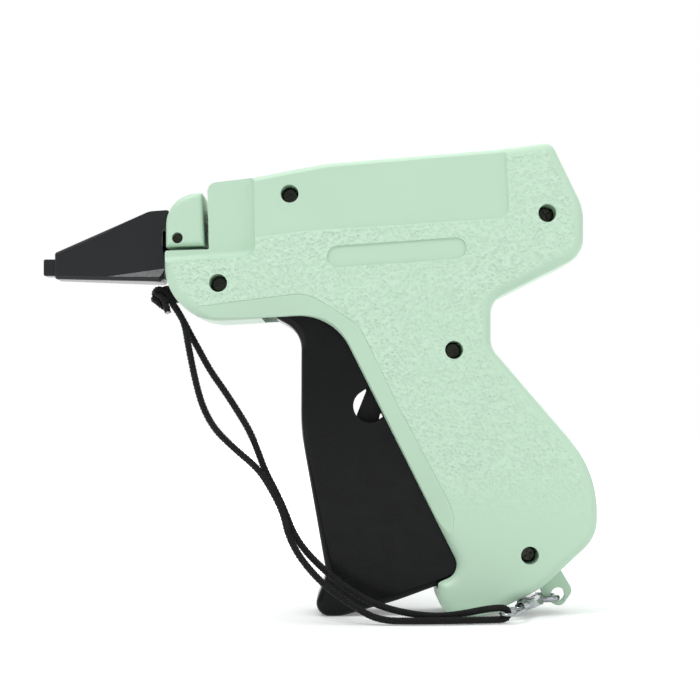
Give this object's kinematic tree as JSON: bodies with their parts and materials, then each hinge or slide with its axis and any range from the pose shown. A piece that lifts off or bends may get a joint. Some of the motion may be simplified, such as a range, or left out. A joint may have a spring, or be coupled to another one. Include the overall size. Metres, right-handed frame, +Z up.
{
  "type": "garment tag attacher",
  "caption": "Pistol-grip gun that shoots plastic fasteners through a hollow needle, with capped needle, squeeze trigger and wrist strap on a snap hook.",
  "frame": {"origin": "centre of the gun's footprint box, on the surface it stands on", "axes": "-X to the needle, +X to the back of the grip, +Z up, -Y to the side with the screws"},
  "size_m": [0.1521, 0.0429, 0.1288],
  "materials": {
    "mint_abs": "satin moulded ABS with fine leather grain",
    "black_gloss": "glossy moulded black plastic",
    "black_matte": "moulded black nylon",
    "white_acetal": "moulded acetal",
    "bright_steel": "drawn steel",
    "zinc_steel": "dark zinc plated",
    "black_steel": "blackened steel",
    "chrome": "nickel plated die casting",
    "rubber": "moulded rubber",
    "braid": "black braided cord"
  },
  "bodies": {
    "housing": {"left_shell": "mint_abs", "right_shell": "mint_abs", "case_screws": "zinc_steel", "needle_holder": "black_matte", "nose_block": "mint_abs", "nose_screw": "zinc_steel", "needle_base": "black_matte", "needle_tube": "bright_steel", "rod_bush": "white_acetal", "return_spring": "bright_steel", "end_bumper": "rubber", "lever_pin": "bright_steel", "trigger_pin": "bright_steel", "pawl": "bright_steel", "strap_anchor": "black_matte", "strap_knot": "braid", "wrist_strap": "braid", "clasp_body": "chrome", "gate_pin": "bright_steel", "clasp_eye": "chrome"},
    "trigger": {"trigger": "black_gloss", "link_pin": "black_steel"},
    "drive_lever": {"drive_lever": "black_matte"},
    "slider": {"slider": "white_acetal", "ejector_rod": "bright_steel", "drive_pin": "bright_steel"},
    "feed_wheel": {"feed_wheel": "white_acetal", "feed_axle": "bright_steel", "ratchet_wheel": "white_acetal"},
    "needle_cap": {"needle_cap": "black_gloss"},
    "clasp_gate": {"clasp_gate": "chrome"}
  },
  "joints": [
    {"name": "trigger_squeeze", "type": "hinge", "parent": "housing", "child": "trigger", "pos_m": [-0.006, 0, 0.0881], "axis": [0, -1, 0], "range_deg": [0, 14], "stiffness_Nm_per_rad": 0.5, "springref_deg": -5.73},
    {"name": "lever_swing", "type": "hinge", "parent": "housing", "child": "drive_lever", "pos_m": [0.0205, 0, 0.0631], "axis": [0, -1, 0], "range_deg": [0, 51.7]},
    {"name": "slider_stroke", "type": "slide", "parent": "housing", "child": "slider", "axis": [-0.9954, 0, -0.0958], "range_m": [0, 0.0338], "deforming": ["return_spring"]},
    {"name": "feed_step", "type": "hinge", "parent": "housing", "child": "feed_wheel", "pos_m": [-0.03166, 0.0043, 0.10729], "axis": [0.9954, 0, 0.0958], "range_deg": [0, 30.1]},
    {"name": "cap_slide", "type": "slide", "parent": "housing", "child": "needle_cap", "axis": [-0.9954, 0, -0.0958], "range_m": [0, 0.045]},
    {"name": "gate_open", "type": "hinge", "parent": "housing", "child": "clasp_gate", "pos_m": [0.05568, -0.00528, 0.00361], "axis": [0.0184, 0.0395, -0.999], "range_deg": [0, 12], "stiffness_Nm_per_rad": 0.002, "springref_deg": -17.19}
  ],
  "couplings": [
    {"joint": "lever_swing", "follows": "trigger_squeeze", "ratio": 3.6904},
    {"joint": "slider_stroke", "follows": "trigger_squeeze", "m_per_rad": 0.13823},
    {"joint": "feed_step", "follows": "trigger_squeeze", "ratio": 2.1429}
  ]
}
